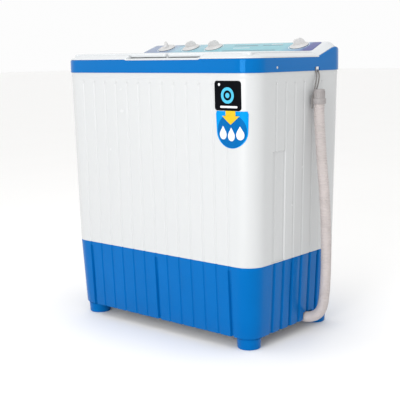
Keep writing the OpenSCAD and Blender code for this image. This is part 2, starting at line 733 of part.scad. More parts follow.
// Holed lid inside the balance ring, with a finger bar
module spin_inner_cover() color([0.6, 0.75, 0.9]) translate([spin_x, tub_y, 752]) difference() {
    cover_r = 96;
    union() {
        cylinder(r = cover_r, h = 3);
        tube(cover_r, cover_r - 3, 16);
        translate([-30, -3, 0]) cube([60, 6, 16]);
    }
    for (r = [36, 56, 76], a = [0:30:330]) rotate(a + r) translate([r, 0, -eps]) cylinder(r = 4, h = 8);
}

drum_z = 262;
motor_shaft_r = 7;
module spin_shaft() color(steel_grey) translate([spin_x, tub_y, drum_z + 4])
    cylinder(r = shaft_r, h = basket_z + 46 - drum_z - 4);

module spin_shaft_seal() color(rubber_black) translate([spin_x, tub_y, tub_floor - 30]) rotate_extrude()
    polygon([[8.4, 0], [20, 0], [24, 6], [18, 10], [26, 16], [20, 20], [30, 26], [30, 30], [52, 30], [52, 34],
        [24, 34], [14, 22], [18, 16], [12, 10], [14, 6], [8.4, 4]]);

module brake_drum() color([0.35, 0.36, 0.38]) translate([spin_x, tub_y, drum_z]) difference() {
    union() {
        cylinder(r = 55, h = 22);
        translate([0, 0, -14]) cylinder(r = 16, h = 50);
    }
    translate([0, 0, 4]) cylinder(r = shaft_r, h = 60);
    translate([0, 0, -20]) cylinder(r = motor_shaft_r, h = 22);
    translate([0, 0, 6]) tube(48, 22, 20);
}

brake_at = [spin_x + 84, tub_y + 50];
module brake_lever() color(steel_grey) difference() {
    union() {
        translate([brake_at[0], brake_at[1], drum_z + 7]) cylinder(r = 9, h = 8);
        translate([brake_at[0] - 6, brake_at[1] - 66, drum_z + 8]) cube([12, 106, 6]);
        difference() {
            box([spin_x + 55, tub_y - 14, drum_z + 3], [brake_at[0] - 4, tub_y + 14, drum_z + 19]);
            translate([spin_x, tub_y, drum_z]) cylinder(r = 59, h = 30);
        }
    }
    translate([brake_at[0], brake_at[1], drum_z]) cylinder(r = 4 + running, h = 30);
}

module brake_bracket() color(steel_grey) {
    translate([brake_at[0], brake_at[1], base_floor]) {
        cylinder(r = 16, h = 4);
        cylinder(r = 7, h = drum_z + 6.6 - base_floor);
        cylinder(r = 4, h = drum_z + 18 - base_floor);
    }
}

spin_motor_z = 126;
mount_r = 80;
module spin_motor() color([0.3, 0.31, 0.33]) translate([spin_x, tub_y, spin_motor_z])
    motor_case(62, 118, motor_shaft_r);
module spin_motor_rotor() color(steel_grey) translate([spin_x, tub_y, spin_motor_z]) {
    translate([0, 0, 4]) cylinder(r = motor_shaft_r, h = drum_z - spin_motor_z - 2);
    translate([0, 0, 30]) cylinder(r = 35, h = 58);
}

module spin_motor_plate() color(steel_grey) translate([spin_x, tub_y, spin_motor_z - 4]) difference() {
    union() {
        cylinder(r = 70, h = 4);
        for (a = [90:120:330]) rotate(a) translate([0, -16, 0]) cube([mount_r, 32, 4]);
        for (a = [90:120:330]) rotate(a) translate([mount_r, 0, 0]) cylinder(r = 16, h = 4);
    }
    translate([0, 0, -eps]) cylinder(r = 20, h = 10);
}

// Rubber-sleeved springs under the spin motor
module spin_motor_mounts() color(rubber_black) translate([spin_x, tub_y, base_floor])
    for (a = [90:120:330]) rotate(a) translate([mount_r, 0, 0]) rotate_extrude()
        polygon([[0, 0], [14, 0], [14, 6], [10, 9], [14, 14], [10, 20], [14, 25], [10, 31], [14, 36],
            [10, 42], [13, 45], [13, spin_motor_z - 4 - base_floor], [0, spin_motor_z - 4 - base_floor]]);

// The wash motor's capacitor, with its two terminals
module capacitor() color(shell_white) translate([-250, 150, base_floor]) {
    linear_extrude(70) rounded([60, 40], 8);
    for (x = [-14, 14]) translate([x, 0, 69]) cylinder(r = 3, h = 12);
}

// ---------- hose ----------

// Rings across the route, square to it, and upright on the route's own plane
function along(points, i) = let (a = points[max(i - 1, 0)], b = points[min(i + 1, len(points) - 1)])
    (b - a) / norm(b - a);
function hose_ring(points, i, r) =
    let (t = along(points, i), side = [0, 1, 0], u = cross(side, t) / norm(cross(side, t)), v = cross(t, u))
    [for (k = [0:hose_sides - 1]) let (a = 360 * k / hose_sides) points[i] + r * (cos(a) * u + sin(a) * v)];

module drain_hose() color(hose_beige)
    loft([for (i = [0:len(hose_route) - 1]) hose_ring(hose_route, i, hose_d / 2)]);

// Stepped rubber end of the hose, with a collar
module hose_cuff() color(hose_beige) translate(cuff_at) rotate_extrude()
    polygon([[0, 0], [19.5, 0], [20.5, 1.5], [20.5, 16], [18, 18], [16.5, 18], [15.5, 45], [12.5, 45],
        [12.5, 20], [0, 20]]);

// Strap from the top frame's notch down to the cuff
module hose_hanger() color([0.7, 0.7, 0.72]) {
    hook = [half_w + 5, 80, 836];
    rod([half_w - 1, hook[1], hook[2] + 2], hook, 1.6);
    rod(hook, cuff_at + [-17, 12, 22], 1.4);
    rod(hook - [0, 4, 0], cuff_at + [-17, 3, 22], 1.4);
    rod(hook + [0, 0.5, 0], hook - [0, 4.5, 0], 1.6);
}

cabinet();
base();
base_plate();
feet();
top_frame();
deck();
control_panel();
panel_overlay();
wash_lid();
spin_lid();
wash_lid_pins();
spin_lid_pins();
wash_timer_knob();
wash_selector_knob();
drain_selector_knob();
spin_timer_knob();
wash_timer();
wash_selector_switch();
drain_selector_body();
drain_crank();
spin_timer();
rear_cover();
rear_cover_screws();
band_screws();
power_gland();
wash_tub();
pulsator();
pulsator_shaft();
shaft_housing();
shaft_bushes();
pulsator_pulley();
drive_belt();
motor_pulley();
wash_motor();
wash_motor_rotor();
wash_motor_bracket();
lint_filter();
water_inlet();
drain_valve_body();
drain_valve_plug();
drain_pull_rod();
tub_pipes();
drain_pipe();
spin_outer_tub();
spin_basket();
balance_ring();
spin_inner_cover();
spin_shaft();
spin_shaft_seal();
brake_drum();
brake_lever();
brake_bracket();
spin_motor();
spin_motor_rotor();
spin_motor_plate();
spin_motor_mounts();
capacitor();
drain_hose();
hose_cuff();
hose_hanger();
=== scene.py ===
import math

import bpy
from mathutils import Matrix, Vector


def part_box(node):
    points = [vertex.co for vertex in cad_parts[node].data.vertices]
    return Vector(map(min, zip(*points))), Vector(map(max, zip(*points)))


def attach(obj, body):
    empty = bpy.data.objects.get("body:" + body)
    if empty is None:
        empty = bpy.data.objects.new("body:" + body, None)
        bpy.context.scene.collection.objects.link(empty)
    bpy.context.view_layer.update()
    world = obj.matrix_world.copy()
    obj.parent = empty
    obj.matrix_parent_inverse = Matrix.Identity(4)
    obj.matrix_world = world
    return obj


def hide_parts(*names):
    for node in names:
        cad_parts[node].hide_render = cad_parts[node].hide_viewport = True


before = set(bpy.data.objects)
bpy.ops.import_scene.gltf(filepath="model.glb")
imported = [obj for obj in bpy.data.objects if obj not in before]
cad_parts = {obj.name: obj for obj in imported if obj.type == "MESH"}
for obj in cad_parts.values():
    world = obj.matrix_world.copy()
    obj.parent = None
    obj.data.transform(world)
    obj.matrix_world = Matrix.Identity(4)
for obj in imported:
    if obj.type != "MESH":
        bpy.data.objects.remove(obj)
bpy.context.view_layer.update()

# Twin tub washer. Metres, +X to the right, -Y to the front, +Z up, the floor at z = 0.
# The visible mouldings are built here over their CAD solids; everything else keeps its CAD shape.

# ---------- driving dimensions ----------

FRAME_LO, FRAME_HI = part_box("top_frame")
HALF_W, HALF_D = FRAME_HI[0], FRAME_HI[1]
CORNER_R = 0.066
BAND_Z = FRAME_LO[2]              # lower edge of the top frame
DECK_Z = 0.872                    # upper edge of the top frame along the front
LEDGE_Z = 0.842
BASE_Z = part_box("base")[1][2]     # where the base meets the cabinet
BASE_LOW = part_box("base")[0][2]
WALL = 0.003
RAMP = math.radians(20.3)         # tilt of the control panel
RIDGE_Y, RIDGE_Z, RIDGE_R = HALF_D - 0.061, 0.864, 0.055
RAMP_END = RIDGE_Y - RIDGE_R * math.sin(RAMP)
CONSOLE_Y = 0.094
CONSOLE_Z = RIDGE_Z + RIDGE_R * math.cos(RAMP) - (RAMP_END - CONSOLE_Y) * math.tan(RAMP)
PANEL_Y = 0.104
KNOB_UP = 0.044                   # a knob's place up the ramp from the overlay's lower edge
KNOBS = {"wash_timer_knob": (-0.283, 40), "wash_selector_knob": (-0.168, -50),
         "drain_selector_knob": (-0.063, -50), "spin_timer_knob": (0.290, -50)}
FRONT_FLUTES = [0.05 * i for i in range(-6, 7)]
SIDE_FLUTES = [-0.127, -0.079, -0.031, 0.017, 0.065, 0.113]
FRONT_GROOVES = [-0.3, 0.0, 0.3]
SIDE_GROOVES = [-0.031, 0.113]
RECESS = (-0.104, 0.202)          # finger recess in the deck's front edge
HOSE_D = 0.034
SCREW_AT = (HALF_W, -0.129, 0.844)

# ---------- camera ----------


def add_camera():
    yaw, pitch, roll = 0.7076, 0.1634, -0.0148
    forward = Vector((-math.sin(yaw) * math.cos(pitch), math.cos(yaw) * math.cos(pitch), -math.sin(pitch)))
    right = forward.cross(Vector((0, 0, 1))).normalized()
    up = right.cross(forward)
    across = right * math.cos(roll) + up * math.sin(roll)
    upward = up * math.cos(roll) - right * math.sin(roll)
    data = bpy.data.cameras.new("camera")
    data.lens, data.sensor_width = 79.65, 36
    data.clip_start, data.clip_end = 0.05, 60
    camera = bpy.data.objects.new("camera", data)
    bpy.context.scene.collection.objects.link(camera)
    turn = Matrix((across, upward, -forward)).transposed().to_4x4()
    camera.matrix_world = Matrix.Translation((1.9081, -2.2458, 0.8856)) @ turn
    bpy.context.scene.camera = camera


add_camera()

# ---------- materials ----------


def material(name, color, rough, vary=0.05, vary_scale=18, grain=0.0, grain_scale=900, metallic=0.0,
             coat=0.0, specular=0.5, tint=(1, 1, 1), rough_vary=0.08, subsurface=0.0):
    """A surface with soft colour mottling, uneven gloss and fine relief, all from noise."""
    mat = bpy.data.materials.new(name)
    mat.use_nodes = True
    tree = mat.node_tree
    shader = tree.nodes["Principled BSDF"]
    shader.inputs["Metallic"].default_value = metallic
    shader.inputs["Coat Weight"].default_value = coat
    shader.inputs["Coat Roughness"].default_value = 0.08
    shader.inputs["Specular IOR Level"].default_value = specular
    shader.inputs["Specular Tint"].default_value = (*tint, 1)
    if subsurface:
        shader.inputs["Subsurface Weight"].default_value = subsurface
        shader.inputs["Subsurface Radius"].default_value = (0.004, 0.004, 0.004)
    place = tree.nodes.new("ShaderNodeTexCoord")

    def noise(scale, detail):
        made = tree.nodes.new("ShaderNodeTexNoise")
        made.inputs["Scale"].default_value = scale
        made.inputs["Detail"].default_value = detail
        tree.links.new(place.outputs["Object"], made.inputs["Vector"])
        return made

    mottle = tree.nodes.new("ShaderNodeValToRGB")
    for element, at, factor in zip(mottle.color_ramp.elements, (0.3, 0.7), (1 - vary, 1 + vary)):
        element.position = at
        element.color = (*[min(1, c * factor) for c in color], 1)
    tree.links.new(noise(vary_scale, 4).outputs["Fac"], mottle.inputs["Fac"])
    tree.links.new(mottle.outputs["Color"], shader.inputs["Base Color"])
    gloss = tree.nodes.new("ShaderNodeMapRange")
    gloss.inputs["To Min"].default_value = max(0.02, rough - rough_vary)
    gloss.inputs["To Max"].default_value = min(1, rough + rough_vary)
    tree.links.new(noise(vary_scale * 6, 5).outputs["Fac"], gloss.inputs["Value"])
    tree.links.new(gloss.outputs["Result"], shader.inputs["Roughness"])
    if grain:
        relief = tree.nodes.new("ShaderNodeBump")
        relief.inputs["Strength"].default_value = 0.15
        relief.inputs["Distance"].default_value = grain
        tree.links.new(noise(grain_scale, 3).outputs["Fac"], relief.inputs["Height"])
        tree.links.new(relief.outputs["Normal"], shader.inputs["Normal"])
    return mat


BLUE_GLOSS = (0.10, 0.50, 1.0)    # tint of the shine on the blue mouldings

M = {
    "band": material("band_plastic", (0.001, 0.118, 0.375), 0.08, 0.02, 6, 0.00006, 500, specular=0.42,
                     tint=BLUE_GLOSS, rough_vary=0.03),
    "base": material("base_plastic", (0.001, 0.114, 0.375), 0.17, 0.03, 8, 0.0001, 500, specular=0.2, tint=BLUE_GLOSS,
                     rough_vary=0.04),
    "shell": material("shell_plastic", (0.53, 0.54, 0.545), 0.26, 0.004, 5, 0.00008, 500, rough_vary=0.03),
    "deck": material("deck_plastic", (0.59, 0.61, 0.625), 0.22, 0.005, 6, 0.00008, 500, coat=0.15, rough_vary=0.03),
    "tub": material("tub_plastic", (0.58, 0.60, 0.62), 0.32, 0.03, 12, 0.0002, 600, coat=0.1),
    "knob": material("knob_plastic", (0.55, 0.545, 0.54), 0.30, 0.03, 40, 0.0001, 1500, coat=0.2),
    "hose": material("hose_plastic", (0.485, 0.44, 0.43), 0.52, 0.07, 30, 0.0002, 1200, subsurface=0.08),
    "cuff": material("cuff_rubber", (0.30, 0.28, 0.278), 0.55, 0.05, 60, 0.0002, 1500),
    "hanger": material("hanger_strap", (0.17, 0.16, 0.155), 0.45, 0.08, 80, 0.0001, 1500),
    "steel": material("zinc_steel", (0.55, 0.56, 0.58), 0.32, 0.10, 60, 0.00008, 1500, metallic=1.0),
    "motor": material("motor_paint", (0.03, 0.032, 0.035), 0.45, 0.2, 50, 0.0003, 900),
    "rubber": material("rubber_black", (0.02, 0.02, 0.022), 0.62, 0.2, 60, 0.0003, 1200),
    "dark": material("dark_plastic", (0.03, 0.03, 0.033), 0.42, 0.15, 40, 0.0002, 1200),
    "bronze": material("bronze_bush", (0.45, 0.26, 0.08), 0.38, 0.12, 90, 0.0001, 1500, metallic=1.0),
    "pulsator": material("pulsator_plastic", (0.06, 0.22, 0.55), 0.25, 0.05, 15, 0.0001, 900, coat=0.3),
    "clear": material("basket_plastic", (0.38, 0.54, 0.72), 0.25, 0.04, 15, 0.0001, 900, coat=0.3),
    "cover": material("cover_plastic", (0.55, 0.56, 0.57), 0.48, 0.01, 12, 0.0002, 700),
    "sticker_black": material("sticker_black", (0.002, 0.0025, 0.004), 0.6, 0.2, 40, specular=0.04),
    "sticker_cyan": material("sticker_cyan", (0.05, 0.42, 0.62), 0.30, 0.06, 60),
    "sticker_sky": material("sticker_sky", (0.001, 0.24, 0.62), 0.26, 0.05, 40, specular=0.25, tint=BLUE_GLOSS),
    "sticker_blue": material("sticker_blue", (0.001, 0.105, 0.33), 0.26, 0.05, 40, specular=0.25, tint=BLUE_GLOSS),
    "sticker_white": material("sticker_white", (0.66, 0.67, 0.68), 0.30, 0.02, 60),
    "sticker_yellow": material("sticker_yellow", (0.60, 0.41, 0.01), 0.35, 0.05, 60, specular=0.25),
    "print_grey": material("print_grey", (0.10, 0.13, 0.17), 0.35, 0.08, 60),
    "print_white": material("print_white", (0.62, 0.67, 0.69), 0.35, 0.03, 60),
}


def film_material():
    """The printed overlay: teal in the middle, blue-violet at its ends."""
    mat = material("panel_film", (0.9, 0.9, 0.9), 0.22, 0.04, 30, coat=0.1)
    tree = mat.node_tree
    shader = tree.nodes["Principled BSDF"]
    place = tree.nodes.new("ShaderNodeTexCoord")
    parts = tree.nodes.new("ShaderNodeSeparateXYZ")
    span = tree.nodes.new("ShaderNodeMapRange")
    span.inputs["From Min"].default_value = -0.364
    span.inputs["From Max"].default_value = 0.364
    ramp = tree.nodes.new("ShaderNodeValToRGB")
    stops = [(0.0, (0.13, 0.20, 0.36)), (0.14, (0.17, 0.25, 0.42)), (0.20, (0.26, 0.45, 0.56)),
             (0.45, (0.20, 0.47, 0.54)), (0.82, (0.23, 0.49, 0.55)), (0.93, (0.17, 0.30, 0.50)),
             (0.955, (0.06, 0.075, 0.27)), (1.0, (0.06, 0.075, 0.27))]
    while len(ramp.color_ramp.elements) < len(stops):
        ramp.color_ramp.elements.new(0.5)
    for element, (at, color) in zip(ramp.color_ramp.elements, stops):
        element.position, element.color = at, (*color, 1)
    mix = tree.nodes.new("ShaderNodeMixRGB")
    mix.blend_type = "MULTIPLY"
    mix.inputs["Fac"].default_value = 1.0
    old = shader.inputs["Base Color"].links[0].from_socket
    tree.links.new(place.outputs["Object"], parts.inputs["Vector"])
    tree.links.new(parts.outputs["X"], span.inputs["Value"])
    tree.links.new(span.outputs["Result"], ramp.inputs["Fac"])
    tree.links.new(ramp.outputs["Color"], mix.inputs["Color1"])
    tree.links.new(old, mix.inputs["Color2"])
    tree.links.new(mix.outputs["Color"], shader.inputs["Base Color"])
    return mat


M["film"] = film_material()

# ---------- mesh helpers ----------


def piece(name, verts, faces, mat, smooth_angle=40):
    """A mesh in the scene, smooth where its faces meet at less than smooth_angle degrees."""
    mesh = bpy.data.meshes.new(name)
    mesh.from_pydata([tuple(v) for v in verts], [], faces)
    mesh.validate()
    made = bpy.data.objects.new(name, mesh)
    bpy.context.scene.collection.objects.link(made)
    mesh.materials.append(mat)
    for polygon in mesh.polygons:
        polygon.use_smooth = True
    mesh.set_sharp_from_angle(angle=math.radians(smooth_angle))
    return made


def loft(rings, looped=False):
    """Faces through rings of equal length. looped joins the last ring to the first; if not, both ends close."""
    n, m = len(rings[0]), len(rings)
    faces = []
    for j in range(m if looped else m - 1):
        a, b = j * n, ((j + 1) % m) * n
        faces += [(a + i, a + (i + 1) % n, b + (i + 1) % n, b + i) for i in range(n)]
    if not looped:
        faces.append(tuple(reversed(range(n))))
        faces.append(tuple((m - 1) * n + i for i in range(n)))
    return faces


def join(parts):
    """One list of vertices and faces from several."""
    verts, faces = [], []
    for part_verts, part_faces in parts:
        base = len(verts)
        verts += part_verts
        faces += [tuple(base + i for i in face) for face in part_faces]
    return verts, faces


def lofted(rings, looped=False):
    return [p for ring in rings for p in ring], loft(rings, looped)


def lathe(profile, at=(0, 0, 0), steps=48, turn=None):
    """A solid of revolution about Z from (radius, height) points, its ends closed by small caps."""
    rings = [[Vector((r * math.cos(a), r * math.sin(a), z))
              for a in (2 * math.pi * k / steps for k in range(steps))] for r, z in profile]
    verts = [p for ring in rings for p in ring]
    if turn:
        verts = [turn @ p for p in verts]
    return [p + Vector(at) for p in verts], loft(rings)


def slab(lo, hi, bevel=0.0006):
    """A box with bevelled edges, as three stacked outlines."""
    rings = []
    for inset, z in [(bevel, lo[2]), (0, lo[2] + bevel), (0, hi[2] - bevel), (bevel, hi[2])]:
        x0, x1, y0, y1 = lo[0] + inset, hi[0] - inset, lo[1] + inset, hi[1] - inset
        c = bevel
        rings.append([Vector(p) for p in [(x0 + c, y0, z), (x1 - c, y0, z), (x1, y0 + c, z), (x1, y1 - c, z),
                                          (x1 - c, y1, z), (x0 + c, y1, z), (x0, y1 - c, z), (x0, y0 + c, z)]])
    return lofted(rings)


def smoothstep(t):
    t = min(1, max(0, t))
    return t * t * (3 - 2 * t)


def cut(target, cutters):
    """Takes closed shapes, given as (verts, faces), out of a piece, and applies it."""
    verts, faces = join(cutters)
    tool = piece("cutter", verts, faces, M["dark"])
    trim = target.modifiers.new("cut", "BOOLEAN")
    trim.operation, trim.solver, trim.object = "DIFFERENCE", "EXACT", tool
    bpy.context.view_layer.update()
    shaped = bpy.data.meshes.new_from_object(target.evaluated_get(bpy.context.evaluated_depsgraph_get()))
    target.modifiers.clear()
    target.data = shaped
    bpy.data.objects.remove(tool)
    for polygon in shaped.polygons:
        polygon.use_smooth = True
    shaped.set_sharp_from_angle(angle=math.radians(40))


# ---------- the body's plan ----------


def spread(start, end, gap):
    count = max(1, round(abs(end - start) / gap))
    return [start + (end - start) * i / count for i in range(count + 1)]


def wall_stops(flutes, edge, extra=()):
    """Places along a wall: close together at each flute, wide apart between."""
    near = [0, 1.6, 2.6, 3.2, 3.9, 4.6, 5.2, 6.0, 6.8, 7.4, 8.5]
    stops = {round(f + side * step / 1000, 5) for f in flutes for step in near for side in (-1, 1)}
    stops |= set(extra)
    stops |= {round(s, 5) for s in spread(-edge, edge, 0.05)}
    ordered = sorted(s for s in stops if abs(s) <= edge)
    kept = [ordered[0]]
    for s in ordered[1:]:
        if s - kept[-1] > 0.0004:
            kept.append(s)
    return kept


def plan_columns(corner_steps, front, side):
    """Columns round the body, anticlockwise from the front's left end: (wall, place), or for a corner
    ("corner", angle, its side, its end)."""
    angles = [90 * i / corner_steps for i in range(corner_steps + 1)]

    def corner(sx, sy, start):
        return [("corner", start + a, sx, sy) for a in angles]

    return ([("front", s) for s in front] + corner(1, -1, -90) + [("right", s) for s in side]
            + corner(1, 1, 0) + [("rear", -s) for s in spread(-0.3, 0.3, 0.1)] + corner(-1, 1, 90)
            + [("left", s) for s in reversed(side)] + corner(-1, -1, 180))


def at_plan(column, inset, depth=0.0):
    """Where a column stands: inset shrinks the whole outline, depth presses in its surface."""
    wall, at = column[:2]
    x, y, r = HALF_W - inset, HALF_D - inset, CORNER_R - inset / 2
    if wall == "front":
        return at, depth - y
    if wall == "rear":
        return at, y - depth
    if wall == "right":
        return x - depth, at
    if wall == "left":
        return depth - x, at
    sx, sy = column[2:]
    a = math.radians(at)
    return sx * (x - r) + (r - depth) * math.cos(a), sy * (y - r) + (r - depth) * math.sin(a)


def dip(offset, half, deep):
    """A groove's depth at a distance from its middle: flat-bottomed with round shoulders."""
    u = abs(offset)
    if u >= half:
        return 0.0
    return deep * smoothstep((half - u) / (half * 0.5))


# ---------- cabinet and base ----------

FLUTE_HALF, FLUTE_DEEP = 0.0050, 0.0028       # the base's flutes
SHALLOW = 0.0018                              # the cabinet's flutes are as wide, but not as deep
GROOVE_HALF, GROOVE_DEEP = 0.0074, 0.008      # the base's few wide grooves
FLUTE_TOP, GROOVE_TOP = 0.8, 0.246
STRIP_Z = 0.8155                              # a fine step runs round the cabinet here
SIDE_PANEL = (-0.142, -0.076, 0.262, 0.598)   # y and z of the pressed-in panel on the right side
PANEL_DEEP, PANEL_EDGE = 0.0062, 0.0022


def cabinet_inset(z):
    leaning = 0.0034 + (FLUTE_TOP - z) / (FLUTE_TOP - BASE_Z) * 0.0096
    return max(0.0026, leaning - 0.0004 * smoothstep((z - STRIP_Z + 0.0008) / 0.0016))


def base_inset(z):
    return 0.013 + (BASE_Z - z) / (BASE_Z - BASE_LOW) * 0.011


def cabinet_depth(column, z):
    wall, at = column[0], column[1]
    if wall not in ("front", "right", "left"):
        return 0.0
    flutes = FRONT_FLUTES if wall == "front" else SIDE_FLUTES
    fade = math.sqrt(max(0.0, min(1.0, (FLUTE_TOP + 0.004 - z) / 0.006)))
    dimple = 0.0014 * max(0.0, 1 - abs(z - FLUTE_TOP + 0.002) / 0.004)
    shallow = SHALLOW if wall == "front" else SHALLOW * 0.6
    deep = max(dip(at - f, FLUTE_HALF, shallow) for f in flutes)
    depth = deep * fade + (dimple if deep > shallow * 0.6 else 0.0)
    if wall == "right":
        y0, y1, z0, z1 = SIDE_PANEL
        inside = min(at - y0, y1 - at, z1 - z)
        depth += PANEL_DEEP * smoothstep(inside / PANEL_EDGE) if z > z0 else 0.0
    return depth


def base_depth(column, z):
    wall, at = column[0], column[1]
    if wall not in ("front", "right", "left"):
        return 0.0
    flutes, grooves = (FRONT_FLUTES, FRONT_GROOVES) if wall == "front" else (SIDE_FLUTES, SIDE_GROOVES)
    half, low = (FLUTE_HALF, FLUTE_DEEP) if wall == "front" else (FLUTE_HALF * 1.9, FLUTE_DEEP * 1.9)
    deep = max(dip(at - f, half, low) for f in flutes)
    fade = smoothstep((GROOVE_TOP - z) / 0.003)
    cleft = max(dip(at - g, GROOVE_HALF, GROOVE_DEEP) for g in grooves)
    return max(deep, cleft * fade)


def walls(name, rows, inset, depth, mat, inner_low, inner_high):
    """A thin-walled tube of the body's plan, its outside shaped by inset(z) and depth(column, z)."""
    edges = (SIDE_PANEL[0], SIDE_PANEL[0] + PANEL_EDGE, SIDE_PANEL[1] - PANEL_EDGE, SIDE_PANEL[1])
    front = wall_stops(FRONT_FLUTES, 0.3115)
    side = wall_stops(SIDE_FLUTES, 0.1625, edges)
    columns = plan_columns(12, front, side)
    rings = [[Vector((*at_plan(c, inset(z), depth(c, z)), z)) for c in columns] for z in rows]
    for z in (inner_high, inner_low):
        rings.append([Vector((*at_plan(c, inset(z) + WALL, depth(c, z)), z)) for c in columns])
    verts, faces = lofted(rings, looped=True)
    return piece(name, verts, faces, mat, 35)


def build_cabinet():
    rows = [BASE_Z, BASE_Z + 0.0012, 0.262, 0.263, 0.30, 0.40, 0.50, 0.58, 0.594, 0.5958, 0.597, 0.598,
            0.61, 0.70, 0.78, 0.792, 0.794, 0.796, 0.798, 0.8, 0.802, 0.8035, 0.8045, 0.812, 0.8146, 0.8156,
            0.8164, 0.828, LEDGE_Z]
    made = walls("cabinet_shell", rows, cabinet_inset, cabinet_depth, M["shell"], BASE_Z, LEDGE_Z)
    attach(made, "root")
    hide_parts("cabinet")


def build_base():
    rows = [BASE_LOW, BASE_LOW + 0.001, BASE_LOW + 0.003, 0.09, 0.15, 0.21, 0.240, 0.2425, 0.2435, 0.2445, 0.2455,
            0.2465, 0.25, 0.256, 0.2588, BASE_Z - 0.0001]

    def inset(z):
        rounding = 0.0009 * smoothstep((z - 0.2575) / 0.0025) + 0.001 * smoothstep((BASE_LOW + 0.003 - z) / 0.003)
        return base_inset(z) + rounding

    made = walls("base_shell", rows, inset, base_depth, M["base"], BASE_LOW, BASE_Z - 0.0001)
    cut(made, [slab((HALF_W - 0.04, 0.044, BASE_LOW - 0.01), (HALF_W, 0.098, 0.0645), 0.002)])
    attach(made, "root")
    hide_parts("base")


# ---------- top frame and deck ----------


def hump(y):
    """Height of the top frame's side wall: level, then up along the console's end and down at the rear."""
    centre_y, centre_z, r = HALF_D - 0.060, 0.843, 0.060
    start_y, start_z = 0.0885, DECK_Z
    join_a = math.radians(111)
    join_y, join_z = centre_y + r * math.cos(join_a), centre_z + r * math.sin(join_a)
    if y <= start_y:
        return start_z
    if y <= join_y:
        return start_z + (join_z - start_z) * (y - start_y) / (join_y - start_y)
    return centre_z + math.sqrt(max(0.0, r * r - (y - centre_y) ** 2))


def recess_blend(x):
    """1 inside the finger recess, 0 outside, with sloping ends."""
    end = 0.010
    return smoothstep(min(x - RECESS[0], RECESS[1] - x) / end + 0.5)


RECESS_STOPS = [e + s * d for e in RECESS for s in (-1, 1) for d in (0.001, 0.003, 0.005, 0.007)]


def build_band():
    """The blue top frame: it follows the hump, dips under the finger recess and is cut for screws and strap."""
    front = sorted(set(spread(-0.31, 0.31, 0.04) + RECESS_STOPS))
    side = sorted(set(spread(-0.16, 0.08, 0.03) + spread(0.0885, 0.162, 0.006)))
    columns = plan_columns(22, front, side)

    def top(c, inset):
        dipped = 0.0024 * recess_blend(c[1]) if c[0] == "front" else 0.0
        return hump(at_plan(c, inset)[1]) - dipped

    def row(inset, height):
        return [Vector((*at_plan(c, inset), height(c))) for c in columns]

    rings = [row(inset, lambda c: BAND_Z + up)
             for inset, up in [(0.0022, 0), (0.0008, 0), (0.0001, 0.0008), (0, 0.002)]]
    rings.append(row(0, lambda c: (BAND_Z + top(c, 0)) / 2))
    rings += [row(inset, lambda c: top(c, inset) + up)
              for inset, up in [(0, -0.0040), (0.0004, -0.0022), (0.0013, -0.0009), (0.0026, -0.0002), (0.004, 0.0),
                                (0.006, -0.0004)]]
    rings += [row(inset, lambda c: z) for inset, z in
              [(0.006, LEDGE_Z + 0.004), (0.010, LEDGE_Z + 0.004), (0.010, LEDGE_Z), (0.0022, LEDGE_Z)]]
    verts, faces = lofted(rings, looped=True)
    made = piece("top_band", verts, faces, M["band"], 40)
    side_on = Matrix.Rotation(math.radians(90), 3, "Y")
    pits = [lathe([(0.0001, 0), (0.0043, 0), (0.0043, 0.004), (0.0001, 0.004)],
                  (sx * (HALF_W - 0.0016) - (0.004 if sx < 0 else 0), SCREW_AT[1], SCREW_AT[2]), 24, side_on)
            for sx in (-1, 1)]
    notch = slab((HALF_W - 0.0021, 0.066, BAND_Z - 0.004), (HALF_W + 0.002, 0.094, 0.8415), 0.0003)
    cut(made, pits + [notch])
    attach(made, "root")
    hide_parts("top_frame")


def build_deck_rim():
    """The sloping rim round the lids, with the scoop of the finger recess in its front."""
    front = sorted(set(spread(-0.31, 0.31, 0.04) + RECESS_STOPS))
    side = spread(-0.16, 0.0939, 0.03)
    columns = plan_columns(18, front, side)
    keep = [c for c in columns if at_plan(c, 0)[1] <= 0.0940 and c[0] != "rear"]
    left = [c for c in keep if c[0] == "left" or (c[0] == "corner" and c[2] < 0)]
    strip = left + [c for c in keep if c not in left]
    rim = [(0.0030, 0.8718), (0.0014, 0.8721), (0.0010, 0.8733), (0.0018, 0.8744), (0.0060, 0.8768),
           (0.0225, 0.8852), (0.0245, 0.8858), (0.0258, 0.8853), (0.0263, 0.8840), (0.0264, 0.8765),
           (0.0120, 0.8718)]
    scoop = [(0.0030, 0.8690), (0.0014, 0.8694), (0.0010, 0.8703), (0.0018, 0.8712), (0.0040, 0.8722),
             (0.0120, 0.8745), (0.0200, 0.8748), (0.0255, 0.8746), (0.0263, 0.8744), (0.0264, 0.8742),
             (0.0120, 0.8712)]
    rings = []
    for c in strip:
        t = recess_blend(c[1]) if c[0] == "front" else 0.0
        rings.append([Vector((*at_plan(c, a[0] * (1 - t) + b[0] * t), a[1] * (1 - t) + b[1] * t))
                      for a, b in zip(rim, scoop)])
    verts, faces = lofted(rings)
    made = piece("deck_rim", verts, faces, M["deck"], 50)
    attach(made, "root")


# ---------- console ----------


def ramp_height(y):
    if y <= RAMP_END:
        return CONSOLE_Z + (y - CONSOLE_Y) * math.tan(RAMP)
    return RIDGE_Z + math.sqrt(max(0.0, RIDGE_R ** 2 - (y - RIDGE_Y) ** 2))


CONSOLE_INSET = 0.0065
CONSOLE_FOOT, REAR_FOOT = 0.8762, 0.8662      # where its wall ends, at the front and behind REAR_Y
REAR_Y = 0.238


def edge_distance(x, y):
    """How far a point lies inside the body's outline, by its sides and rear corners."""
    dx, dy = HALF_W - abs(x), HALF_D - y
    if dx < CORNER_R and dy < CORNER_R:
        return CORNER_R - math.hypot(CORNER_R - dx, CORNER_R - dy)
    return min(dx, dy)


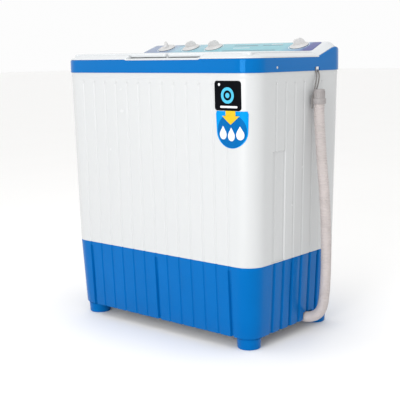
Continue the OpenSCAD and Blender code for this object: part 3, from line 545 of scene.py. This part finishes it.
def console_rear(x):
    r = CORNER_R - CONSOLE_INSET
    side = abs(x) - (HALF_W - CONSOLE_INSET - r)
    back = HALF_D - CONSOLE_INSET
    return back if side <= 0 else back - r + math.sqrt(max(0.0, r * r - side * side))


def console_height(x, y):
    side = HALF_W - abs(x)
    inner = smoothstep((min(side, edge_distance(x, y) + 0.004) - CONSOLE_INSET) / 0.026)
    low = min(hump(y) + 0.0006, ramp_height(y))
    return low + (ramp_height(y) - low) * inner


def build_console():
    """The white sloping housing: a skin over the ramp and the ridge, with walls and the inlet's bore."""
    limit = HALF_W - CONSOLE_INSET
    near = [0, 0.0008, 0.002, 0.004, 0.007, 0.010, 0.014, 0.018, 0.022, 0.026, 0.031, 0.037, 0.044, 0.052, 0.060]
    xs = [-limit + d for d in near] + spread(-0.32, 0.32, 0.04) + [limit - d for d in reversed(near)]
    steps = [0, 0.006, 0.015, 0.05, 0.12, 0.2, 0.28, 0.36, 0.42, 0.46, 0.5, 0.54, 0.58, 0.62, 0.66, 0.7, 0.74,
             0.78, 0.82, 0.86, 0.89, 0.92, 0.945, 0.965, 0.98, 0.99, 1.0]
    rings = []
    for x in xs:
        back = console_rear(x)
        row = [Vector((x, CONSOLE_Y, CONSOLE_FOOT)), Vector((x, CONSOLE_Y, console_height(x, CONSOLE_Y) - 0.0035)),
               Vector((x, CONSOLE_Y + 0.0006, console_height(x, CONSOLE_Y) - 0.0014))]
        for t in steps[1:]:
            y = CONSOLE_Y + (back - CONSOLE_Y) * t
            row.append(Vector((x, y, console_height(x, y))))
        row.append(Vector((x, back, min(row[-1][2] - 0.002, REAR_FOOT))))
        rings.append(row)
    n = len(rings[0])
    verts = [p for row in rings for p in row]
    faces = [(j * n + i, j * n + i + 1, (j + 1) * n + i + 1, (j + 1) * n + i)
             for j in range(len(rings) - 1) for i in range(n - 1)]
    # the ends drop straight down to the deck
    for j, flip in ((0, True), (len(rings) - 1, False)):
        row = rings[j]
        low = len(verts)
        verts += [Vector((p[0], p[1], min(p[2], CONSOLE_FOOT if p[1] < REAR_Y else REAR_FOOT))) for p in row[1:]]
        chain = [j * n] + [low + i for i in range(len(row) - 1)]
        for i in range(n - 1):
            face = (j * n + i, j * n + i + 1, chain[i + 1], chain[i])
            face = tuple(dict.fromkeys(face))
            faces.append(tuple(reversed(face)) if flip else face)
    made = piece("console_shell", verts, [tuple(reversed(f)) for f in faces], M["deck"], 40)
    thick = made.modifiers.new("wall", "SOLIDIFY")
    thick.thickness, thick.offset = 0.0024, -1
    bore = lathe([(0.0001, 0.84), (0.0143, 0.84), (0.0143, 0.93), (0.0001, 0.93)], (-0.23, 0.215, 0), 40)
    cut(made, [bore])
    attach(made, "root")
    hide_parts("control_panel")


ON_RAMP = (Matrix.Translation((0, PANEL_Y, CONSOLE_Z + (PANEL_Y - CONSOLE_Y) * math.tan(RAMP)))
           @ Matrix.Rotation(RAMP, 4, "X"))


def rounded_outline(x0, x1, y0, y1, r, inset=0.0, steps=6):
    """A rounded rectangle as a list of points, anticlockwise."""
    r = max(0.0002, r - inset)
    x0, x1, y0, y1 = x0 + inset, x1 - inset, y0 + inset, y1 - inset
    points = []
    for cx, cy, start in ((x1 - r, y0 + r, -90), (x1 - r, y1 - r, 0), (x0 + r, y1 - r, 90), (x0 + r, y0 + r, 180)):
        for k in range(steps + 1):
            a = math.radians(start + 90 * k / steps)
            points.append((cx + r * math.cos(a), cy + r * math.sin(a)))
    return points


def short_edges(outline, gap):
    """The same outline with points added wherever an edge is longer than gap."""
    points = []
    for a, b in zip(outline, outline[1:] + outline[:1]):
        count = max(1, math.ceil(math.dist(a, b) / gap))
        points += [(a[0] + (b[0] - a[0]) * k / count, a[1] + (b[1] - a[1]) * k / count) for k in range(count)]
    return points


def build_overlay():
    """The printed film on the ramp, narrower at the top, with a soft raised edge."""
    rings = []
    for inset, z in [(0, 0), (0, 0.0008), (0.0003, 0.0011), (0.0008, 0.0012)]:
        ring = []
        for x, y in rounded_outline(-0.364, 0.364, 0, 0.075, 0.008, inset):
            lean = 1 - 0.006 / 0.364 * y / 0.075
            ring.append(ON_RAMP @ Vector((x * lean, y, z)))
        rings.append(ring)
    verts, faces = lofted(rings)
    made = piece("panel_film", verts, faces, M["film"], 30)
    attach(made, "root")
    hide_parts("panel_overlay")


FILM_Z, PRINT_Z = 0.0011, 0.0014  # heights over the ramp: the film's face, a print's face


def flat_ring(cx, cy, r_out, r_in, steps=48):
    """A printed ring on the film."""
    rings = [[ON_RAMP @ Vector((cx + r * math.cos(a), cy + r * math.sin(a), z)) for r, z in
              ((r_in, FILM_Z), (r_out, FILM_Z), (r_out, PRINT_Z), (r_in, PRINT_Z))]
             for a in (math.radians(360 * k / steps) for k in range(steps))]
    return lofted(rings, looped=True)


def bar(x0, x1, y, tall, r):
    """A printed bar on the film."""
    return lofted([[ON_RAMP @ Vector((px, py, z)) for px, py in rounded_outline(x0, x1, y, y + tall, r)]
                   for z in (FILM_Z, PRINT_Z)])


def build_prints():
    """Scale rings, ticks and plain bars printed on the film, with no lettering."""
    pale, grey = [], []
    dial_y = KNOB_UP - 0.001
    for x, _ in KNOBS.values():
        pale.append(flat_ring(x, dial_y, 0.0352, 0.0336))
        for k in range(11):
            a = math.radians(-60 + 30 * k)
            tick_y = dial_y + 0.0366 * math.sin(a)
            if 0.003 < tick_y < 0.072:
                grey.append(flat_ring(x + 0.0366 * math.cos(a), tick_y, 0.0010, 0.0001, 10))
    grey += [bar(x0, x1, y, 0.0035, 0.0016) for x0, x1, y in
             [(0.02, 0.12, 0.052), (0.14, 0.22, 0.052), (0.0, 0.22, 0.006), (-0.24, -0.21, 0.066)]]
    pale += [bar(x0, x1, y, 0.004, 0.0018) for x0, x1, y in [(0.17, 0.215, 0.060), (0.03, 0.10, 0.030)]]
    for name, shapes, mat in (("print_pale", pale, M["print_white"]), ("print_dark", grey, M["print_grey"])):
        verts, faces = join(shapes)
        made = piece(name, verts, faces, mat, 30)
        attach(made, "root")


# ---------- lids ----------

HINGE = Vector((0, 0.084, 0.884))
EAR_W = 0.008


def long_edges_split(outline, per_corner, split=40):
    """The outline with points added along its four long edges, the same number whatever its size."""
    points = []
    for k, (a, b) in enumerate(zip(outline, outline[1:] + outline[:1])):
        count = split if k % per_corner == per_corner - 1 else 1
        points += [(a[0] + (b[0] - a[0]) * i / count, a[1] + (b[1] - a[1]) * i / count) for i in range(count)]
    return points


def build_lid(name, node, x0, x1, ears):
    """A lid with a rolled edge and a pillowed top, and a knuckle beside each of the deck's hinge ears."""
    z0, z1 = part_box(node)[0][2], 0.890
    section = [(0.0030, z1 - 0.0050), (0.0030, z0 + 0.0004), (0.0026, z0), (0.0006, z0), (0.0, z0 + 0.0008),
               (0.0, z1 - 0.0050), (0.0005, z1 - 0.0030), (0.0016, z1 - 0.0014), (0.0032, z1 - 0.0004),
               (0.0052, z1), (0.0180, z1 + 0.0004), (0.0195, z1 - 0.0004), (0.0215, z1 - 0.0004),
               (0.0230, z1 + 0.0006), (0.05, z1 + 0.0013), (0.09, z1 + 0.0018), (0.13, z1 + 0.0020)]
    rings = []
    for inset, z in section:
        outline = [(px + (0.5 - (px > (x0 + x1) / 2)) * 2 * max(0.0, inset - 0.0095),
                    py + (0.5 - (py > -0.07)) * 2 * max(0.0, inset - 0.0095))
                   for px, py in rounded_outline(x0, x1, -0.222, 0.078, 0.010, min(inset, 0.0095))]
        ring = []
        for px, py in long_edges_split(outline, 7):
            lift = 0.0014 * recess_blend(px) if py < -0.205 and z < z0 + 0.002 else 0.0
            ring.append(Vector((px, py, z + lift)))
        rings.append(ring)
    shapes = [lofted(rings)]
    side_on = Matrix.Rotation(math.radians(90), 3, "Y")
    for x in ears:
        start = x + EAR_W / 2 + 0.0006
        shapes.append(lathe([(0.0031, 0), (0.0050, 0), (0.0055, 0.0005), (0.0055, 0.0195), (0.0050, 0.02),
                             (0.0031, 0.02)], (start, HINGE[1], HINGE[2]), 32, side_on))
        shapes.append(slab((start + 0.0003, 0.0755, HINGE[2] - 0.0045),
                           (start + 0.0197, HINGE[1] - 0.002, HINGE[2] + 0.0045), 0.0008))
    verts, faces = join(shapes)
    made = piece(name, verts, faces, M["deck"], 40)
    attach(made, node)
    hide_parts(node)


# ---------- knobs ----------

# a grip's outline from the side: (along it, up from the skirt)
GRIP = [(0.0208, 0.0042), (0.0204, 0.0075), (0.0194, 0.0115), (0.0176, 0.0155), (0.0150, 0.0188), (0.0115, 0.0212),
        (0.0070, 0.0226), (0.0, 0.0232), (-0.0060, 0.0230), (-0.0100, 0.0222), (-0.0132, 0.0205),
        (-0.0155, 0.0180), (-0.0172, 0.0150), (-0.0184, 0.0110), (-0.0190, 0.0075), (-0.0193, 0.0042)]


def build_knob(body):
    """A thin skirt, a domed face and a tapered finger bar with ribbed flanks."""
    x, turn = KNOBS[body]
    place = ON_RAMP @ Matrix.Translation((x, KNOB_UP, 0.002)) @ Matrix.Rotation(math.radians(turn), 4, "Z")
    skirt = [(0.0001, 0), (0.0300, 0), (0.0308, 0.0004), (0.0310, 0.0010), (0.0308, 0.0016), (0.0300, 0.0020),
             (0.0262, 0.0026), (0.0252, 0.0042), (0.0238, 0.0050), (0.012, 0.0060), (0.0001, 0.0060)]
    shapes = [lathe(skirt, steps=64)]
    across = [(-1, 0.86), (-0.97, 0.93), (-0.88, 0.975), (-0.7, 0.995), (0, 1.0), (0.7, 0.995), (0.88, 0.975),
              (0.97, 0.93), (1, 0.86)]
    rings = []
    for t, shrink in across:
        ring = []
        for along, up in GRIP:
            height = 0.004 + (up - 0.004) * shrink
            width = 0.0072 * (1 - 0.40 * ((up - 0.004) / 0.0192) ** 1.3)
            ring.append(Vector((width * t, along * (0.6 + 0.4 * shrink), height)))
        rings.append(ring)
    shapes.append(lofted(rings))
    for side in (-1, 1):
        for k in range(-2, 3):
            rib = slab((-0.0008, -0.0009, 0.0045), (0.0008, 0.0009, 0.0175 - 0.001 * abs(k)), 0.0003)
            lean = Matrix.Rotation(side * math.radians(-9.5), 3, "Y")
            shapes.append(([lean @ v + Vector((side * 0.0072, 0.0058 * k, 0)) for v in rib[0]], rib[1]))
    verts, faces = join(shapes)
    made = piece(body + "_grip", [place @ Vector(v) for v in verts], faces, M["knob"], 50)
    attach(made, body)
    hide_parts(body)
    mark = slab((-0.0007, 0.0040, 0.0228), (0.0007, 0.0115, 0.0238), 0.0002)
    sloping = [place @ Vector((v.x, v.y, v.z - max(0.0, v.y - 0.004) * 0.28)) for v in mark[0]]
    line = piece(body + "_mark", sloping, mark[1], M["print_grey"])
    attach(line, body)


# ---------- hose ----------

HOSE_ROUTE = [(0.345, 0.066, 0.045), (0.362, 0.066, 0.045), (0.379, 0.066, 0.046), (0.395, 0.066, 0.050),
              (0.411, 0.066, 0.058), (0.424, 0.066, 0.070), (0.433, 0.066, 0.086), (0.438, 0.066, 0.104),
              (0.441, 0.066, 0.125), (0.444, 0.066, 0.160), (0.446, 0.066, 0.200), (0.447, 0.066, 0.245),
              (0.447, 0.066, 0.290), (0.446, 0.066, 0.335), (0.444, 0.066, 0.380), (0.441, 0.066, 0.425),
              (0.438, 0.065, 0.470), (0.434, 0.064, 0.515), (0.430, 0.063, 0.560), (0.427, 0.062, 0.605),
              (0.424, 0.061, 0.650), (0.421, 0.061, 0.690), (0.421, 0.061, 0.730)]
CUFF_Z = HOSE_ROUTE[-1][2]


def curve_through(points, gap):
    """Points a fixed distance apart along a smooth curve through the given ones."""
    knots = [Vector(p) for p in points]
    knots = [2 * knots[0] - knots[1]] + knots + [2 * knots[-1] - knots[-2]]
    fine = []
    for i in range(1, len(knots) - 2):
        p0, p1, p2, p3 = knots[i - 1:i + 3]
        for k in range(24):
            t = k / 24
            fine.append(0.5 * (2 * p1 + (p2 - p0) * t + (2 * p0 - 5 * p1 + 4 * p2 - p3) * t * t
                               + (3 * p1 - p0 - 3 * p2 + p3) * t ** 3))
    fine.append(knots[-2])
    lengths = [0.0]
    for a, b in zip(fine, fine[1:]):
        lengths.append(lengths[-1] + (b - a).length)
    count = round(lengths[-1] / gap)
    spaced, j = [], 0
    for k in range(count + 1):
        want = lengths[-1] * k / count
        while j < len(lengths) - 2 and lengths[j + 1] < want:
            j += 1
        t = (want - lengths[j]) / max(1e-9, lengths[j + 1] - lengths[j])
        spaced.append(fine[j].lerp(fine[j + 1], t))
    return spaced, lengths[-1]


def tube(points, radius, sides):
    """A tube along points. radius(i) gives its radius at each."""
    rings, normal = [], Vector((0, 1, 0))
    for i, p in enumerate(points):
        ahead = (points[min(i + 1, len(points) - 1)] - points[max(i - 1, 0)]).normalized()
        normal = (normal - ahead * normal.dot(ahead)).normalized()
        other = ahead.cross(normal)
        rings.append([p + radius(i) * (math.cos(a) * normal + math.sin(a) * other)
                      for a in (2 * math.pi * k / sides for k in range(sides))])
    return lofted(rings)


def build_hose():
    """The corrugated hose, with its cuff and the strap that holds it up."""
    pitch, per_rib = 0.0050, 5
    points, length = curve_through(HOSE_ROUTE, pitch / per_rib)
    ribs = [1.0, 0.965, 0.89, 0.89, 0.965]
    verts, faces = tube(points, lambda i: HOSE_D / 2 * ribs[i % per_rib], 26)
    hose = piece("corrugated_hose", verts, faces, M["hose"], 60)
    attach(hose, "root")
    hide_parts("drain_hose")
    cuff = build_cuff()
    hanger = build_hanger()


def build_cuff():
    """The rubber end: a collar below and a finely ribbed mouth above."""
    at = (HOSE_ROUTE[-1][0], HOSE_ROUTE[-1][1], CUFF_Z)
    profile = [(0.0001, 0), (0.0175, 0), (0.0196, 0.0006), (0.0204, 0.0016), (0.0204, 0.0052), (0.0198, 0.0058),
               (0.0198, 0.0074), (0.0204, 0.0080), (0.0204, 0.0150), (0.0196, 0.0165), (0.0180, 0.0175),
               (0.0172, 0.0180), (0.0168, 0.0200), (0.0160, 0.0440), (0.0155, 0.0448), (0.0128, 0.0448),
               (0.0126, 0.0440), (0.0126, 0.0210), (0.0001, 0.0205)]
    shapes = [lathe(profile, at, 64)]
    for k in range(18):
        a = 2 * math.pi * k / 18
        rib = slab((-0.0009, 0.0158, 0.0190), (0.0009, 0.0176, 0.0400), 0.0004)
        turn = Matrix.Rotation(a, 3, "Z")
        shapes.append(([turn @ v + Vector(at) for v in rib[0]], rib[1]))
    verts, faces = join(shapes)
    made = piece("hose_end", verts, faces, M["cuff"], 40)
    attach(made, "root")
    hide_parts("hose_cuff")
    return made


def build_hanger():
    """A clip hooked into the top frame's notch, and the strap's two strands down to the cuff."""
    hook = [(HALF_W - 0.001, y, z) for y, z in ((0.0745, 0.826), (0.0745, 0.8385), (0.0765, 0.8405),
                                                (0.0845, 0.8405), (0.0865, 0.8385), (0.0865, 0.826))]
    strands = [[(0.4005, 0.0745, 0.829), (0.4045, 0.071, 0.812), (0.4060, 0.0620, 0.786), (0.4065, 0.0505, 0.762),
                (0.4055, 0.0430, 0.742), (0.4070, 0.0425, 0.716)],
               [(0.4005, 0.0865, 0.829), (0.4050, 0.0845, 0.812), (0.4075, 0.0730, 0.786), (0.4080, 0.0580, 0.766),
                (0.4068, 0.0450, 0.744), (0.4075, 0.0445, 0.718)]]
    shapes = [tube(curve_through(hook, 0.002)[0], lambda i: 0.0019, 10)]
    for strand in strands:
        shapes.append(tube(curve_through(strand, 0.003)[0], lambda i: 0.0022, 10))
    verts, faces = join(shapes)
    made = piece("hanger_strap", verts, faces, M["hanger"], 50)
    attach(made, "root")
    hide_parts("hose_hanger")
    return made


# ---------- labels ----------


def wall_point(s, z, lift):
    """A point on the cabinet's front, s along it from the middle and on round the right corner."""
    inset = cabinet_inset(z)
    r = CORNER_R - inset / 2
    straight = HALF_W - inset - r
    if s <= straight:
        return Vector((s, -(HALF_D - inset) - lift, z))
    a = (s - straight) / r
    return Vector((straight + (r + lift) * math.sin(a), -(HALF_D - inset - r) - (r + lift) * math.cos(a), z))


def decal(name, centre, outline, lift, mat, rings=10, hole=0.0):
    """A thin label on the cabinet's front: an outline about a centre, filled by rings so it bends."""
    outline = short_edges(outline, 0.003)
    scales = [max(hole, 0.002) + (1 - max(hole, 0.002)) * k / rings for k in range(rings + 1)]
    top = [[wall_point(centre[0] + x * k, centre[1] + z * k, lift) for x, z in outline] for k in scales]
    low = [[wall_point(centre[0] + x * k, centre[1] + z * k, lift - 0.0003) for x, z in outline]
           for k in reversed(scales)]
    verts, faces = lofted(top + low, looped=True)
    made = piece(name, verts, [tuple(reversed(f)) for f in faces], mat, 60)
    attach(made, "root")


def box_outline(w, h, r):
    return rounded_outline(-w / 2, w / 2, -h / 2, h / 2, r, steps=8)


def circle_outline(r, steps=40):
    return [(r * math.cos(2 * math.pi * k / steps), r * math.sin(2 * math.pi * k / steps)) for k in range(steps)]


def build_clip():
    """The pale tongue that holds the strap's hook in the band's notch."""
    verts, faces = slab((HALF_W - 0.002, 0.0745, 0.8335), (HALF_W + 0.0016, 0.0865, 0.8425), 0.0006)
    made = piece("hanger_clip", verts, faces, M["sticker_white"])
    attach(made, "root")


def build_labels():
    """Two stickers near the front's right corner, as plain graphics."""
    black = (0.3075, 0.766)
    decal("label_black", black, box_outline(0.095, 0.086, 0.009), 0.0006, M["sticker_black"])
    decal("label_ring", (black[0], black[1] + 0.001), circle_outline(0.0235), 0.0009, M["sticker_cyan"], hole=0.62)
    decal("label_core", (black[0], black[1] + 0.001), circle_outline(0.0075), 0.0009, M["sticker_cyan"])
    decal("label_stripe", (black[0] + 0.004, black[1] - 0.032), box_outline(0.062, 0.006, 0.002), 0.0009,
          M["sticker_white"])
    decal("label_dot", (black[0] - 0.030, black[1] + 0.032), circle_outline(0.004), 0.0009, M["sticker_white"])
    blue = (0.3195, 0.668)
    shield = [(0.054 * math.cos(a), -0.004 + 0.050 * math.sin(a))
              for a in (math.pi + math.pi * k / 32 for k in range(33))]
    shield += [(0.056, 0.046), (0.053, 0.054), (-0.053, 0.054), (-0.056, 0.046)]
    disc = [(0.050 * math.cos(a), 0.050 * math.sin(a) - 0.003)
            for a in (2 * math.pi * k / 72 for k in range(72))]
    decal("label_shield", blue, shield, 0.0006, M["sticker_sky"], 14)
    decal("label_disc", blue, disc, 0.0009, M["sticker_blue"], 14)
    arrow = [(0.018, 0.018), (-0.018, 0.018), (-0.018, 0.003), (-0.031, 0.003), (-0.016, -0.010), (0, -0.022),
             (0.016, -0.010), (0.031, 0.003), (0.018, 0.003)]
    decal("label_arrow", (blue[0] - 0.002, blue[1] + 0.037), list(reversed(arrow)), 0.0012, M["sticker_yellow"])
    drop = []
    for k in range(40):
        a = 2 * math.pi * k / 40
        point = max(0.0, math.sin(a)) ** 4
        drop.append((0.0125 * math.cos(a) * (1 - 0.55 * point), 0.0145 * math.sin(a) + 0.010 * point))
    for k, dx in enumerate((-0.030, 0.0, 0.030)):
        decal(f"label_drop_{k}", (blue[0] + dx, blue[1] - 0.014 - 0.004 * (k == 1)), drop, 0.0012,
              M["sticker_white"])


# ---------- everything else keeps its CAD shape ----------

NODE_MATERIALS = {
    "base_plate": "steel", "feet": "base", "deck": "deck", "wash_lid_pins": "steel", "spin_lid_pins": "steel",
    "wash_timer": "cover", "spin_timer": "cover", "wash_selector_switch": "dark", "drain_selector_body": "dark",
    "drain_crank": "steel", "rear_cover": "cover", "rear_cover_screws": "steel", "band_screws": "steel",
    "power_gland": "dark", "wash_tub": "tub", "pulsator": "pulsator", "pulsator_shaft": "steel",
    "shaft_housing": "dark", "shaft_bushes": "bronze", "pulsator_pulley": "dark", "drive_belt": "rubber",
    "motor_pulley": "steel", "wash_motor": "motor", "wash_motor_rotor": "steel", "wash_motor_bracket": "steel",
    "lint_filter": "clear", "water_inlet": "dark", "drain_valve_body": "cover", "drain_valve_plug": "rubber",
    "drain_pull_rod": "steel", "tub_pipes": "hose", "drain_pipe": "hose", "spin_outer_tub": "tub",
    "spin_basket": "clear", "balance_ring": "clear", "spin_inner_cover": "clear", "spin_shaft": "steel",
    "spin_shaft_seal": "rubber", "brake_drum": "motor", "brake_lever": "steel", "brake_bracket": "steel",
    "spin_motor": "motor", "spin_motor_rotor": "steel", "spin_motor_plate": "steel",
    "spin_motor_mounts": "rubber", "capacitor": "cover",
}


def dress_nodes():
    for node, key in NODE_MATERIALS.items():
        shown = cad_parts[node]
        shown.data.materials.clear()
        shown.data.materials.append(M[key])


# ---------- floor and light ----------


def area_light(name, at, aim, size, power):
    data = bpy.data.lights.new(name, "AREA")
    data.shape, data.size, data.size_y, data.energy = "RECTANGLE", size[0], size[1], power
    lamp = bpy.data.objects.new(name, data)
    lamp.location = at
    lamp.rotation_euler = (Vector(aim) - Vector(at)).to_track_quat("-Z", "Y").to_euler()
    bpy.context.scene.collection.objects.link(lamp)


def build_stage():
    half = 40
    floor = piece("floor", [(-half, -half, 0), (half, -half, 0), (half, half, 0), (-half, half, 0)],
                  [(0, 1, 2, 3)], material("floor_white", (0.95, 0.945, 0.935), 0.7, 0.004, 2))
    world = bpy.data.worlds.new("studio")
    bpy.context.scene.world = world
    world.use_nodes = True
    world.node_tree.nodes["Background"].inputs["Color"].default_value = (1, 1, 1, 1)
    world.node_tree.nodes["Background"].inputs["Strength"].default_value = 0.98
    area_light("key", (1.03, -3.67, 1.45), (0.36, -0.23, 0.75), (1.75, 2.3), 80)
    area_light("top", (0.0, -0.2, 3.4), (0, 0, 0.5), (2.0, 2.0), 14)
    bpy.context.scene.view_settings.view_transform = "Standard"
    bpy.context.scene.view_settings.look = "None"


build_hose()
build_cabinet()
build_base()
build_band()
build_deck_rim()
build_console()
build_overlay()
build_prints()
build_lid("wash_lid_panel", "wash_lid", -0.372, 0.044, (-0.330, -0.010))
build_lid("spin_lid_panel", "spin_lid", 0.052, 0.372, (0.100, 0.330))
for knob_body in KNOBS:
    build_knob(knob_body)
build_clip()
build_labels()
dress_nodes()
build_stage()
